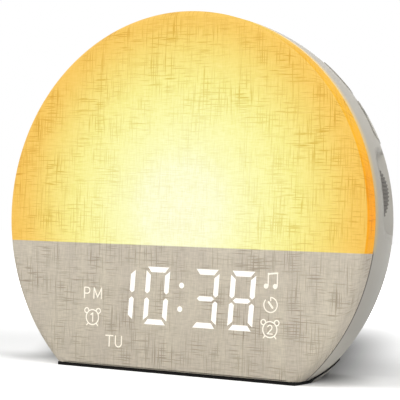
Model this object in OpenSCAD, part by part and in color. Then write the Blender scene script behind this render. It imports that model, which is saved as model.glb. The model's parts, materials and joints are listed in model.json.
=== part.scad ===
// Sunrise alarm clock: a round, fabric-covered front cut flat at the foot, with a warm lamp
// above and a lit clock display below, on a domed plastic housing with buttons and a dial.
// X is to the right, Y runs back from the fabric face, Z is up from the surface it stands on.

/* [Front] */
// Radius of the round front
face_r = 95; // [91:0.5:99]
// Height of the round front's centre above its flat underside
base_drop = 70.3; // [68:0.1:72]
// Drop from the centre to the line between lamp and display
split_drop = 13.2; // [11.5:0.1:14.5]
// Depth of the front cover, from the fabric face to the parting line
band_depth = 9.6; // [8.6:0.1:10.6]
// Thickness of the linen and its backing
fabric_t = 0.6; // [0.4:0.1:1]
// Radius of the front's rounded edge
front_round = 3.7; // [2.5:0.1:5]
// Thickness of the diffuser plate behind the linen
plate_t = 2.2; // [1.6:0.1:2.6]
// Thickness of the front cover's side wall
cover_wall = 2.6; // [2.3:0.1:3]

/* [Rear housing] */
// Depth of the whole clock
depth = 68; // [66:0.5:74]
// Wall thickness of the rear housing
wall = 2.4; // [2:0.1:2.8]
// Open line between front cover and rear housing
parting_gap = 0.3; // [0.2:0.05:0.5]
// Depth at which the straight rim starts to curve in
crown_start = 13.4; // [12:0.1:15]
// Radius of the housing's curve from rim to back
crown_r = 82; // [79:0.5:88]
// Radius of the edge around the flat back
back_edge_r = 9; // [7:0.5:11]

/* [Base pad] */
// Thickness of the rubber pad
pad_t = 1.6; // [1:0.1:2.5]
// How far the pad stays inside the housing's foot
pad_inset = 0.8; // [0.5:0.1:2]
// How far the foot's rubber stands proud where it climbs the shell
boot_t = 0.6; // [0.4:0.1:1]
// How steeply the rubber's upper edge climbs towards the back, in degrees
boot_a = 22; // [16:1:26]
// Height at which the rubber's upper edge runs level to the back
boot_h = 9.5; // [6:0.5:12]

/* [Lamp] */
// Wall thickness of the reflector tray
tray_wall = 1.4; // [1:0.1:1.8]
// Depth of the reflector tray's back
tray_back = 16.4; // [15.6:0.1:17]
// Side of one lamp diode
led_w = 5; // [3:0.5:6]
// Height of one lamp diode
led_t = 1.5; // [0.8:0.1:2]
// Distance between lamp diodes
led_pitch = 17; // [14:0.5:22]
// Thickness of every circuit board
board_t = 1.6; // [1.2:0.1:2]

/* [Display] */
// Height of a digit
digit_h = 26.8; // [24:0.1:28]
// Width of a digit
digit_w = 12.9; // [12:0.1:14]
// Width of a segment
stroke = 2.7; // [2:0.1:3]
// Lean of the digits, as a slope
lean = 0.056; // [0:0.002:0.12]
// Distance between the digits of a pair
digit_pitch = 18.6; // [17.5:0.1:19.5]
// Extra room for the colon between the pairs
colon_room = 7.3; // [6.5:0.1:8]
// Radius of a colon dot
dot_r = 1.4; // [1:0.1:1.8]
// Line width of the small icons
icon_line = 0.75; // [0.6:0.05:0.9]
// Thickness of the display block
display_t = 9.4; // [8.4:0.1:10]
// Thickness of the smoked face in front of the display
display_face_t = 0.5; // [0.3:0.1:0.8]

/* [Buttons] */
// Depth of the middle of the buttons
key_y = 39.5; // [38.5:0.1:40.5]
// Size of a button from front to back
key_w = 18; // [16:0.5:19]
// How far a button stands above the housing
key_raise = 0.4; // [0.3:0.1:0.8]
// Gap around a button
key_gap = 0.35; // [0.3:0.05:0.5]
// Travel of a button
key_travel = 0.8; // [0.5:0.1:1]
// Corner radius of a button
key_corner = 3; // [1.5:0.5:4]

/* [Dial] */
// Diameter of the dial
dial_d = 40; // [38:0.5:42]
// Thickness of the dial
dial_t = 8; // [6:0.5:8.5]
// Depth of the dial's front face
dial_y = 21.3; // [20.9:0.1:21.8]
// Direction of the dial from the centre, in degrees above level
dial_a = 8.7; // [6:0.1:11]
// How far the dial's rim reaches past the edge of the front; below zero it stays inside
dial_reach = -1.4; // [-2.5:0.1:-0.6]
// Number of grooves in the dial's rim
dial_grooves = 72; // [48:1:90]
// Height of the finger recess around the dial
recess_h = 37.5; // [34:0.5:40]
// Depth of the finger recess's front edge
recess_y = 19.4; // [19:0.1:19.8]
// How far the recess's floor lies inside the edge of the front
recess_floor = 7.6; // [6.6:0.1:8.4]
// Corner radius of the recess
recess_corner = 7; // [4:0.5:10]

/* [Speaker] */
// Diameter of the speaker
speaker_d = 50; // [44:1:54]
// Height of the speaker's middle above the centre
speaker_z = 14; // [12:0.5:18]
// Diameter of a sound hole
hole_d = 2.4; // [1.6:0.1:3]
// Distance between sound holes
hole_pitch = 4.8; // [4.2:0.1:6]

/* [Power] */
// Height of the circuit board's middle below the centre
main_drop = 38; // [37:0.5:39]
// Sideways place of the power socket
jack_x = 24; // [20:0.5:27]
// Radius of the socket's nose
nose_r = 4; // [3.6:0.1:4.6]
// Radius of the socket's bore for the plug
socket_r = 2.85; // [2.6:0.05:3.1]
// Diameter of the backup cell
cell_d = 20; // [18:0.5:21]
// Thickness of the backup cell
cell_t = 3.2; // [2:0.1:3.4]
// Thickness of the battery door
door_t = 1.6; // [1.2:0.1:2]

/* [Hidden] */

$fn = 96;
eps = 0.01;
far = 400;

// Colours
plastic_c = [0.75, 0.73, 0.68];
linen_c = [0.80, 0.77, 0.70];
diffuser_c = [0.96, 0.94, 0.88];
rubber_c = [0.07, 0.07, 0.07];
board_c = [0.10, 0.35, 0.20];
white_c = [0.95, 0.95, 0.93];
black_c = [0.08, 0.08, 0.09];
steel_c = [0.72, 0.73, 0.75];
brass_c = [0.80, 0.68, 0.36];
copper_c = [0.75, 0.42, 0.25];
grip_c = [0.42, 0.40, 0.37];
cone_c = [0.16, 0.16, 0.17];

// Main levels
centre_z = pad_t + base_drop;
cover_r = face_r - fabric_t;
plate_back = fabric_t + plate_t;
housing_front = band_depth + parting_gap;
clear = 0.3;
fit = 0.05;

// Curve of the housing, as radius over depth
crown_cx = face_r - crown_r;
edge_y = depth - back_edge_r;
edge_x = crown_cx + sqrt(pow(crown_r - back_edge_r, 2) - pow(edge_y - crown_start, 2));
crown_end = atan2(edge_y - crown_start, edge_x - crown_cx);
edge_steps = 4;
front_steps = 6;
edge_lead = 1.15;
back_in = depth - wall;
function dome_r(y) = y <= crown_start ? face_r
    : crown_cx + sqrt(pow(crown_r, 2) - pow(y - crown_start, 2));

// Front cover's tongue in the housing's mouth
tongue_r = face_r - wall - clear;
tongue_t = 1.5;
tongue_len = 3;
tongue_lap = 2;
cover_floor = pad_t + fabric_t;
tongue_floor = pad_t + wall + clear;

// Two screws and three catches that close the case
screw_r = 1.1;
screw_head_r = 2.3;
screw_head_t = 1.6;
case_x = face_r - 34.2;
case_drop = split_drop + 19;
case_boss_r = 3;
case_boss_y = band_depth + 5;
case_column_r = 4;
case_head_y = 30;
catch_angles = [50, 90, 130];
catch_w = 8;
catch_out = 0.7;
catch_y = [band_depth + 0.9, band_depth + 2.5];

// Lamp
tray_r = face_r - fabric_t - cover_wall - 0.4;
tray_waist_r = face_r - 12;
tray_end_r = face_r - 14;
tray_waist_y = band_depth - 0.1;
tray_floor = tray_back - tray_wall;
lamp_board_y = tray_floor - board_t;
lamp_board_r = tray_end_r - 5;
header_x = -20;
header_w = 10;
header_h = 4;
header_drop = split_drop - 6.2;
header_len = 5.4;

// Display
display_front = plate_back + display_face_t;
display_back = display_front + display_t;
display_top = split_drop + 5.3;
digit_drop = split_drop + 23.1;
display_bottom = digit_drop + 28.2;
display_x = [-52, 56.6];
digits_x = -8.45;
icon_left = -43.5;
icon_right = 50.5;
day_x = -31;
row_note = digit_drop - 9.9;
row_timer = digit_drop + 0.95;
row_alarm = digit_drop + 11.8;
row_pm = digit_drop + 0.4;
row_day = digit_drop + 22.3;
dot_rise = 5.4;
dots_x = digits_x + (digit_pitch + colon_room) / 2;
seg_tip = 0.5;
seg_drop = 1.7;
seg_inner = 3.9;
seg_depth = display_t - 1.2;
display_board_x = 65;
display_board_top = split_drop + 3.3;
display_board_bottom = base_drop - 5.5;
display_screw_x = 60.8;
display_screw_z = [display_board_top + 4, display_board_bottom - 4];
display_boss_r = 3;
display_board_back = display_back + board_t;

// Buttons: name order is snooze, alarm one, alarm two, light, sound
snooze_a = 90;
upper_a = 46.5;
lower_a = 30.5;
key_angles = [snooze_a, upper_a, lower_a, 180 - upper_a, 180 - lower_a];
snooze_half = 18;
upper_half = 5.5;
lower_half = 6.1;
key_halves = [snooze_half, upper_half, lower_half, upper_half, lower_half];
function key_len(i) = 2 * dome_r(key_y) * sin(key_halves[i]);
key_lip = 1.2;
key_lip_t = 1.2;
lip_inset = wall + clear;
key_board_r = face_r - 19;
key_board_w = 12;
key_post_y = key_w / 2 + 5;
key_board_len = 2 * key_post_y + 6;
key_post_r = 2.5;
switch_w = 6;
switch_t = 3.5;
plunger_r = 1.75;
plunger_t = 1.6;
plunger_base = key_board_r + switch_t - key_travel;
plunger_top = plunger_base + plunger_t;
stem_r = 1.8;
stem_top = dome_r(key_y) - lip_inset - key_lip_t / 2;
small_screw_r = 0.95;
small_head_r = 1.8;
small_head_t = 1.2;
small_screw_len = 5;

// Dial
dial_r = dial_d / 2;
dial_c = face_r + dial_reach - dial_r;
dial_x = dial_c * cos(dial_a);
dial_z = dial_c * sin(dial_a);
dial_room = 0.6;
dial_side_room = 0.5;
dial_back = dial_y + dial_t;
groove_r = 0.5;
shaft_r = 3;
bushing_r = 4.5;
bushing_y = dial_back + 0.7;
encoder_y = bushing_y + 4;
encoder_w = 12;
encoder_t = 6;
dial_board_y = encoder_y + encoder_t;
dial_board_x = [dial_x - 12.4, dial_x + 9.2];
dial_board_z = [dial_z - 12, dial_z + 12];
dial_post_x = dial_x - 9.4;
dial_post_dz = 8;
dial_post_r = 2.5;
recess_back = 60;
recess_wall = 2;

// Speaker, on the inside of the flat back
speaker_r = speaker_d / 2;
gasket_t = 1.8;
gasket_w = 2.5;
flange_t = 1.2;
flange_y = back_in - gasket_t - flange_t;
speaker_screw_d = speaker_r - 3.4;
speaker_hole_r = 1.15;
basket_depth = 10;
basket_r = speaker_r - 4;
basket_end_r = 14;
magnet_r = 15;
magnet_t = 7;
grille_r = speaker_r - 5;
plate_y = flange_y - basket_depth;

// Main board, behind the display
main_y = 48;
main_back = main_y + board_t;
main_x = 46;
main_half_h = 20;
main_screw_x = 41;
main_screw_dz = 15;
main_post_r = 3;
jack_drop = main_drop + 12;
jack_w = 9;
jack_h = 11;
jack_bore = 9;
pin_r = 1;

// Backup cell, in a pocket of the flat back
cell_x = -20;
cell_drop = main_drop + 3.5;
holder_w = cell_d + 4;
holder_floor = 1;
contact_t = 0.3;
pocket_w = holder_w + 0.6;
cell_back = depth - door_t - 1.4;
holder_y = cell_back - cell_t - contact_t - fit - holder_floor;
pocket_wall = 1.6;
door_margin = 3;
door_screw_x = cell_x + pocket_w / 2 + 4.5;
door_lug_r = 3.4;
door_post_r = 3.2;
door_screw_head_t = 0.9;
door_screw_r = 0.9;

// Cables
wire_w = 1.2;
ribbon_t = 0.4;
ribbon_w = 9;
plug_t = 3.6;
plug_h = 5;

// ---------------------------------------------------------------- building blocks

// Moves a node from depths that count from the front face to the middle of the clock
module placed() translate([0, -depth / 2, 0]) children();

module at_centre() translate([0, 0, centre_z]) children();

// A flat outline of radius and depth, turned about the front-to-back axis with its seam at the foot
module turned() at_centre() rotate([-90, 0, 0]) rotate([0, 0, 90]) rotate_extrude() children();

// Everything higher than z
module above(z) translate([-far / 2, -far / 2, z]) cube(far);

// A box by its sides; heights are above the centre
module block(x, y, z)
    translate([x[0], y[0], centre_z + z[0]]) cube([x[1] - x[0], y[1] - y[0], z[1] - z[0]]);

// A rod that runs front to back
module rod(x, z, r, y0, y1)
    translate([x, y0, centre_z + z]) rotate([-90, 0, 0]) cylinder(r = r, h = y1 - y0);

// A round disc cut flat at the foot
module cut_disc(r, floor_z, y0, y1) intersection() {
    rod(0, 0, r, y0, y1);
    above(floor_z);
}

// A round front with a rounded edge in steps, cut flat at the foot
module front_form(r, round_r, floor_z, y0, y1) intersection() {
    turned() polygon(concat([[0, y0]], [for (i = [0:front_steps]) let (a = 90 * i / front_steps)
        [r - round_r + round_r * sin(a), y0 + round_r - round_r * cos(a)]], [[r, y1], [0, y1]]));
    above(floor_z);
}

// The housing's outer form, taken in by inset: straight rim, curve, back edge in steps, flat back
module dome(inset, y0) turned() {
    translate([0, y0]) square([face_r - inset, crown_start - y0]);
    translate([0, y0]) square([crown_cx, depth - inset - y0]);
    intersection() {
        translate([crown_cx, crown_start]) circle(crown_r - inset);
        polygon(concat([[crown_cx, y0], [far, y0], [far, depth]], [for (i = [0:edge_steps]) let (
            a = crown_end + (90 - crown_end) * i / edge_steps,
            r = (back_edge_r - inset) * (i == 0 ? edge_lead : 1))
            [edge_x + r * cos(a), edge_y + r * sin(a)]], [[crown_cx, depth - inset]]));
    }
}

// A flat outline in X and Z, given thickness from y0 to y1
module sheet(y0, y1) translate([0, y1, centre_z]) rotate([90, 0, 0]) linear_extrude(y1 - y0) children();

// Turns children so that their Z points out along the angle and their Y points back
module outward(a) at_centre() rotate([0, 90 - a, 0]) children();

module rounded(w, h, r) {
    square([w - 2 * r, h], center = true);
    square([w, h - 2 * r], center = true);
    for (x = [-1, 1], y = [-1, 1]) translate([x * (w / 2 - r), y * (h / 2 - r)]) circle(r);
}

// A stroke with round ends, in the flat
module bar(p, q, w) {
    d = q - p;
    translate(p) rotate(atan2(d[1], d[0])) translate([0, -w / 2]) square([norm(d), w]);
    for (e = [p, q]) translate(e) circle(w / 2);
}

module ring(r, w) difference() {
    circle(r + w / 2);
    circle(r - w / 2);
}

// One side of a run through points, moved sideways by half of w
function run_normal(p, q) = let (d = (q - p) / norm(q - p)) [-d[1], d[0]];
function run_side(points, w) = [for (i = [0:len(points) - 1]) let (
    a = run_normal(points[max(i - 1, 0)], points[max(i, 1)]),
    b = run_normal(points[min(i, len(points) - 2)], points[min(i + 1, len(points) - 1)]))
    points[i] + w / 2 * (a + b) / (1 + a * b)];

// A wire at one depth, along straight runs through points in X and Z
module wire(points, y) sheet(y, y + wire_w) polygon(concat(run_side(points, wire_w),
    [for (i = [1:len(points)]) run_side(points, -wire_w)[len(points) - i]]));

// A screw that is driven towards +Y, its head's underside at y
module screw_back(x, z, r, len, head_r, head_t, y) {
    rod(x, z, r, y, y + len);
    difference() {
        rod(x, z, head_r, y - head_t, y);
        block([x - head_r * 0.7, x + head_r * 0.7], [y - head_t - 1, y - head_t * 0.5],
            [z - 0.25, z + 0.25]);
    }
}

// ---------------------------------------------------------------- shell

// Space that a button needs in the wall
module key_space(i, grow, r0, r1) outward(key_angles[i]) translate([0, key_y, r0])
    linear_extrude(r1 - r0)
        rounded(key_len(i) + 2 * grow, key_w + 2 * grow, key_corner + grow);

// Finger recess, grown by its wall where asked
module recess(grow) outward(dial_a) translate([0, recess_y - grow, face_r - recess_floor - grow])
    linear_extrude(far) translate([0, (recess_back - recess_y) / 2 + grow])
        rounded(recess_h + 2 * grow, recess_back - recess_y + 2 * grow, recess_corner + grow);

// A catch on the front cover's tongue, or the notch for it with room around
module catch(a, r, out, room) outward(a)
    translate([-catch_w / 2 - room, catch_y[0] - room, r])
        cube([catch_w + 2 * room, catch_y[1] - catch_y[0] + 2 * room, tongue_r + out - r]);

// What stands inside the housing's shell
module housing_inside() {
    for (s = [-1, 1]) rod(s * case_x, -case_drop, case_column_r, case_boss_y + clear, depth);
    for (i = [0:4], s = [-1, 1]) outward(key_angles[i])
        translate([0, key_y + s * key_post_y, key_board_r]) cylinder(r = key_post_r, h = 25);
    intersection() {
        recess(recess_wall);
        rod(0, 0, face_r, recess_y - recess_wall, depth);
    }
    for (x = [-1, 1], z = [-1, 1]) {
        rod(x * speaker_screw_d, speaker_z + z * speaker_screw_d, 3, flange_y + flange_t, depth);
        rod(x * main_screw_x, -main_drop + z * main_screw_dz, main_post_r, main_back, depth);
    }
    for (s = [-1, 1]) rod(dial_post_x, dial_z + s * dial_post_dz, dial_post_r,
        dial_board_y + board_t, depth);
    block([cell_x - pocket_w / 2 - pocket_wall, cell_x + pocket_w / 2 + pocket_wall],
        [holder_y - pocket_wall, depth],
        [-cell_drop - pocket_w / 2 - pocket_wall, -cell_drop + pocket_w / 2 + pocket_wall]);
    rod(door_screw_x, -cell_drop, door_post_r, holder_y, depth);
}

// What is cut out of the housing
module housing_cuts() {
    for (s = [-1, 1]) {
        rod(s * case_x, -case_drop, screw_r + clear, 0, depth);
        rod(s * case_x, -case_drop, screw_head_r + clear, case_head_y, depth + 1);
    }
    for (a = catch_angles) catch(a, tongue_r - 1, catch_out + clear, 0.2);
    for (i = [0:4]) {
        key_space(i, key_gap, key_board_r + 1, far);
        for (s = [-1, 1]) outward(key_angles[i])
            translate([0, key_y + s * key_post_y, key_board_r - 1])
                cylinder(r = small_screw_r + fit, h = small_screw_len);
    }
    recess(0);
    rod(dial_x, dial_z, dial_r + dial_room, dial_y - dial_side_room, dial_back + dial_side_room);
    for (x = [-1, 1], z = [-1, 1]) {
        rod(x * speaker_screw_d, speaker_z + z * speaker_screw_d, speaker_hole_r - 0.15,
            flange_y, depth - 1);
        rod(x * main_screw_x, -main_drop + z * main_screw_dz, screw_r + fit, main_y,
            main_back + 10);
    }
    for (s = [-1, 1]) rod(dial_post_x, dial_z + s * dial_post_dz, small_screw_r + fit,
        dial_board_y, dial_board_y + board_t + small_screw_len);
    grille_holes();
    rod(jack_x, -jack_drop, nose_r + clear, back_in - 1, depth + 1);
    block([cell_x - pocket_w / 2, cell_x + pocket_w / 2], [holder_y, depth],
        [-cell_drop - pocket_w / 2, -cell_drop + pocket_w / 2]);
    door_outline(depth - door_t, depth + 1, 0);
    rod(door_screw_x, -cell_drop, door_screw_r + fit, holder_y + pocket_wall, depth);
}

// Rows of sound holes within a circle
module grille_holes() {
    rows = floor(grille_r / (hole_pitch * sin(60)));
    for (j = [-rows:rows], i = [-rows - 1:rows + 1]) {
        x = (i + (j % 2 == 0 ? 0 : 0.5)) * hole_pitch;
        z = j * hole_pitch * sin(60);
        if (norm([x, z]) <= grille_r - hole_d / 2)
            rod(x, speaker_z + z, hole_d / 2, back_in - 1, depth + 1);
    }
}

module rear_housing() color(plastic_c) placed() difference() {
    intersection() {
        dome(0, housing_front);
        above(pad_t);
    }
    difference() {
        intersection() {
            dome(wall, housing_front - 1);
            above(pad_t + wall);
        }
        housing_inside();
    }
    housing_cuts();
}

module front_cover() color(diffuser_c) placed() difference() {
    union() {
        difference() {
            front_form(cover_r, front_round - fabric_t, cover_floor, fabric_t, band_depth);
            cut_disc(cover_r - cover_wall, cover_floor + cover_wall, plate_back, band_depth + 1);
        }
        difference() {
            cut_disc(tongue_r, tongue_floor, band_depth - tongue_lap, band_depth + tongue_len);
            cut_disc(tongue_r - tongue_t, tongue_floor + tongue_t, 0, band_depth + tongue_len + 1);
        }
        for (a = catch_angles) catch(a, tongue_r - 1, catch_out, 0);
        for (s = [-1, 1]) rod(s * case_x, -case_drop, case_boss_r, plate_back - eps, case_boss_y);
        for (x = [-1, 1], z = display_screw_z)
            rod(x * display_screw_x, -z, display_boss_r, plate_back - eps, display_back);
    }
    for (s = [-1, 1])
        rod(s * case_x, -case_drop, screw_r + fit, plate_back + 1, case_boss_y + 1);
    for (x = [-1, 1], z = display_screw_z)
        rod(x * display_screw_x, -z, small_screw_r + fit, plate_back + 1, display_back + 1);
}

module front_fabric() color(linen_c) placed() difference() {
    front_form(face_r, front_round, pad_t, 0, band_depth);
    front_form(cover_r, front_round - fabric_t, cover_floor, fabric_t, band_depth + 1);
}

// Half width of the flat foot at a depth
function foot_x(y) = sqrt(pow(dome_r(y), 2) - pow(base_drop, 2)) - pad_inset;
foot_end = crown_start + sqrt(pow(crown_r, 2) - pow(base_drop + 5 - crown_cx, 2)) - pad_inset;
foot_steps = 12;
foot_ys = [for (i = [0:foot_steps]) crown_start + (foot_end - crown_start) * sin(90 * i / foot_steps)];

// The curved part of the shell, taken in by inset, as far back as the rubber climbs
boot_end = edge_y - 1;
boot_y = crown_start + (boot_h - pad_t) / tan(boot_a);
module flank(inset) turned() intersection() {
    translate([crown_cx, crown_start]) circle(crown_r - inset);
    translate([crown_cx, crown_start]) square([far, boot_end - crown_start]);
}

module base_pad() color(rubber_c) placed() {
    linear_extrude(pad_t) polygon(concat(
        [[-foot_x(0), pad_inset], [foot_x(0), pad_inset]],
        [for (y = foot_ys) [foot_x(y), y]],
        [for (i = [foot_steps:-1:0]) [-foot_x(foot_ys[i]), foot_ys[i]]]));
    difference() {
        intersection() {
            flank(-boot_t);
            translate([-far, 0, 0]) rotate([90, 0, 90]) linear_extrude(2 * far) polygon([
                [crown_start, 0], [crown_start, pad_t],
                [boot_y, boot_h], [boot_end, boot_h], [boot_end, 0]]);
        }
        intersection() {
            flank(-fit);
            above(pad_t);
        }
    }
}

// ---------------------------------------------------------------- lamp

module light_tray() color(white_c) placed() difference() {
    intersection() {
        union() {
            difference() {
                turned() polygon([[0, plate_back], [tray_r, plate_back], [tray_waist_r, tray_waist_y],
                    [tray_end_r, tray_back], [0, tray_back]]);
                turned() polygon([[0, plate_back - 1], [tray_r - tray_wall, plate_back - 1],
                    [tray_r - tray_wall, plate_back], [tray_waist_r - tray_wall, tray_waist_y],
                    [tray_end_r - tray_wall, tray_floor], [0, tray_floor]]);
            }
            intersection() {
                turned() polygon([[0, plate_back], [tray_r, plate_back], [tray_waist_r, tray_waist_y],
                    [tray_end_r, tray_back], [0, tray_back]]);
                block([-far / 2, far / 2], [0, depth], [-split_drop, -split_drop + tray_wall]);
            }
        }
        above(centre_z - split_drop);
    }
    block([header_x - header_w / 2 - clear, header_x + header_w / 2 + clear],
        [tray_floor - 1, tray_back + 1],
        [-header_drop - header_h / 2 - clear, -header_drop + header_h / 2 + clear]);
}

module sunrise_board() color(white_c) placed() intersection() {
    rod(0, 0, lamp_board_r, lamp_board_y, tray_floor);
    above(centre_z - split_drop + tray_wall + clear);
}

module sunrise_leds() color([1, 0.9, 0.6]) placed() for (i = [-4:4], j = [0:4]) {
    x = i * led_pitch + (j % 2) * led_pitch / 2;
    z = -split_drop + tray_wall + led_pitch * 0.55 + j * led_pitch;
    if (norm([x, z]) < lamp_board_r - led_w)
        block([x - led_w / 2, x + led_w / 2], [lamp_board_y - led_t, lamp_board_y],
            [z - led_w / 2, z + led_w / 2]);
}

module light_header() color(white_c) placed()
    block([header_x - header_w / 2, header_x + header_w / 2], [tray_floor, tray_floor + header_len],
        [-header_drop - header_h / 2, -header_drop + header_h / 2]);

// ---------------------------------------------------------------- display

function leant(points, dx) = [for (p = points) [dx + p[0] + lean * p[1], p[1] - digit_drop]];

// The seven segments of a digit: top, upper and lower sides, bottom and middle
w2 = digit_w / 2;
h2 = digit_h / 2;
function top_bar(v) = [[-w2 + seg_tip, v * h2], [w2 - seg_tip, v * h2],
    [w2 - stroke, v * (h2 - stroke)], [-w2 + stroke, v * (h2 - stroke)]];
function side_bar(u, v) = [[u * w2, v * (h2 - seg_drop)], [u * w2, v * stroke * 0.65],
    [u * (w2 - stroke / 2), v * stroke * 0.28], [u * (w2 - stroke), v * stroke * 0.72],
    [u * (w2 - stroke), v * (h2 - seg_inner)]];
function middle_bar() = [[-w2 + stroke / 2 + seg_tip, 0], [-w2 + stroke + seg_tip, stroke * 0.44],
    [w2 - stroke - seg_tip, stroke * 0.44], [w2 - stroke / 2 - seg_tip, 0],
    [w2 - stroke - seg_tip, -stroke * 0.44], [-w2 + stroke + seg_tip, -stroke * 0.44]];
function digit_bars() = concat([for (v = [1, -1]) top_bar(v)],
    [for (u = [1, -1], v = [1, -1]) side_bar(u, v)], [middle_bar()]);
digit_xs = [digits_x - digit_pitch, digits_x, digits_x + digit_pitch + colon_room,
    digits_x + 2 * digit_pitch + colon_room];

module digits_flat() {
    for (dx = digit_xs, bar_points = digit_bars()) polygon(leant(bar_points, dx));
    for (s = [-1, 1]) translate([dots_x + lean * s * dot_rise, -digit_drop + s * dot_rise]) circle(dot_r);
}

module alarm_icon() {
    ring(3.5, icon_line);
    for (s = [-1, 1]) {
        translate([s * 3.3, 3.1]) difference() {
            ring(1.15, icon_line);
            translate([-s * 3.3, -3.1]) circle(3.5);
        }
        bar([s * 2.4, -2.9], [s * 3.1, -3.8], icon_line);
    }
}

module one_icon() {
    bar([0.2, 2], [0.2, -2], icon_line);
    bar([0.2, 2], [-0.9, 1.2], icon_line);
}

module two_icon() {
    translate([0, 0.9]) difference() {
        ring(1.05, icon_line);
        translate([-3, -3]) square([3, 3]);
        translate([-1, -3]) square([4, 2.6]);
    }
    bar([0.9, 0.3], [-1.2, -1.9], icon_line);
    bar([-1.2, -1.9], [1.3, -1.9], icon_line);
}

module note_icon() {
    for (x = [-1.5, 3]) {
        bar([x, -2.6], [x, 3], icon_line);
        translate([x - 1, -2.7]) circle(1.25);
    }
    bar([-1.5, 2.7], [3, 3.2], icon_line * 1.3);
}

module timer_icon() {
    difference() {
        ring(3.3, icon_line);
        rotate(110) translate([0, -0.9]) square([5, 2.4]);
    }
    bar([0, 3.3], [0, 1.9], icon_line);
    bar([-1, 1.2], [1, -1.2], icon_line * 1.5);
}

module letter_p() {
    bar([0, 0], [0, 5], icon_line);
    bar([0, 5], [1.6, 5], icon_line);
    bar([0, 2.2], [1.6, 2.2], icon_line);
    translate([1.6, 3.6]) difference() {
        ring(1.4, icon_line);
        translate([-5, -3]) square([5, 6]);
    }
}

module letter_m() {
    for (x = [0, 4.2]) bar([x, 0], [x, 5], icon_line);
    bar([0, 5], [2.1, 0.6], icon_line);
    bar([4.2, 5], [2.1, 0.6], icon_line);
}

module letter_t() {
    bar([0, 5], [4, 5], icon_line);
    bar([2, 0], [2, 5], icon_line);
}

module letter_u() {
    for (x = [0, 3.4]) bar([x, 1.7], [x, 5], icon_line);
    translate([1.7, 1.7]) difference() {
        ring(1.7, icon_line);
        translate([-3, 0]) square([6, 3]);
    }
}

// Each small window: its middle and its size
icon_cells = [[icon_left, -row_pm, 12, 7], [icon_left, -row_alarm, 11, 10], [day_x, -row_day, 11, 7],
    [icon_right, -row_note, 10, 8.6], [icon_right, -row_timer, 9, 9], [icon_right, -row_alarm, 11, 10]];

module icons_flat() {
    translate([icon_left, -row_pm]) translate([-4.9, -2.5]) {
        letter_p();
        translate([5.4, 0]) letter_m();
    }
    translate([icon_left, -row_alarm]) {
        alarm_icon();
        one_icon();
    }
    translate([day_x, -row_day]) translate([-4.6, -2.5]) {
        letter_t();
        translate([5.4, 0]) letter_u();
    }
    translate([icon_right, -row_note]) note_icon();
    translate([icon_right, -row_timer]) timer_icon();
    translate([icon_right, -row_alarm]) {
        alarm_icon();
        two_icon();
    }
}

module display_face() color([0.75, 0.75, 0.73]) placed()
    block(display_x, [plate_back, display_front], [-display_bottom, -display_top]);

// Each segment's well is a little larger than its light guide
module display_body() color(black_c) placed() difference() {
    block(display_x, [display_front, display_back], [-display_bottom, -display_top]);
    for (dx = digit_xs, b = digit_bars()) sheet(display_front - 1, display_back + 1)
        polygon(leant(grown(b), dx));
    for (s = [-1, 1]) rod(dots_x + lean * s * dot_rise, -digit_drop + s * dot_rise, dot_r + well_gap,
        display_front - 1, display_back + 1);
    for (c = icon_cells) block([c[0] - c[2] / 2, c[0] + c[2] / 2], [display_front - 1, display_back + 1],
        [c[1] - c[3] / 2, c[1] + c[3] / 2]);
}

// An outline with each corner moved out from its middle by the well's gap
well_gap = 0.08;
function middle(points) = [for (k = [0, 1])
    (min([for (p = points) p[k]]) + max([for (p = points) p[k]])) / 2];
function grown(points) = let (c = middle(points))
    [for (p = points) p + [sign(p[0] - c[0]), sign(p[1] - c[1])] * well_gap];

module display_segments() color(white_c) placed()
    sheet(display_front, display_front + seg_depth) digits_flat();

module display_icons() color([0.95, 0.92, 0.82]) placed() {
    tile_y = display_front + 1;
    sheet(display_front, tile_y) icons_flat();
    for (c = icon_cells) block([c[0] - c[2] / 2 + well_gap, c[0] + c[2] / 2 - well_gap],
        [tile_y, tile_y + 1.2], [c[1] - c[3] / 2 + well_gap, c[1] + c[3] / 2 - well_gap]);
}

module display_leds() color([1, 0.95, 0.8]) placed() {
    die = 0.8;
    for (dx = digit_xs, b = digit_bars()) {
        m = middle(b);
        block([dx + m[0] + lean * m[1] - die / 2, dx + m[0] + lean * m[1] + die / 2],
            [display_back - 0.6, display_back], [m[1] - digit_drop - die / 2, m[1] - digit_drop + die / 2]);
    }
    for (s = [-1, 1]) {
        x = dots_x + lean * s * dot_rise;
        z = -digit_drop + s * dot_rise;
        block([x - die / 2, x + die / 2], [display_back - 0.6, display_back], [z - die / 2, z + die / 2]);
    }
    for (c = icon_cells) block([c[0] - die, c[0] + die], [display_back - 0.6, display_back],
        [c[1] - die / 2, c[1] + die / 2]);
}

module display_board() color(board_c) placed() difference() {
    block([-display_board_x, display_board_x], [display_back, display_board_back],
        [-display_board_bottom, -display_board_top]);
    for (x = [-1, 1], z = display_screw_z)
        rod(x * display_screw_x, -z, small_screw_r + 0.2, 0, depth);
    for (s = [-1, 1]) rod(s * case_x, -case_drop, case_boss_r + clear, 0, depth);
}

// Screws that are driven towards the front
module screw_front(x, z, r, len, head_r, head_t, y) {
    rod(x, z, r, y - len, y);
    rod(x, z, head_r, y, y + head_t);
}

module display_screws() color(steel_c) placed() for (x = [-1, 1], z = display_screw_z)
    screw_front(x * display_screw_x, -z, small_screw_r, board_t + small_screw_len, small_head_r,
        small_head_t, display_board_back);

// ---------------------------------------------------------------- electronics

module main_board() color(board_c) placed() difference() {
    block([-main_x, main_x], [main_y, main_back], [-main_drop - main_half_h, -main_drop + main_half_h]);
    for (x = [-1, 1], z = [-1, 1])
        rod(x * main_screw_x, -main_drop + z * main_screw_dz, screw_r + 0.2, 0, depth);
}

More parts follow.
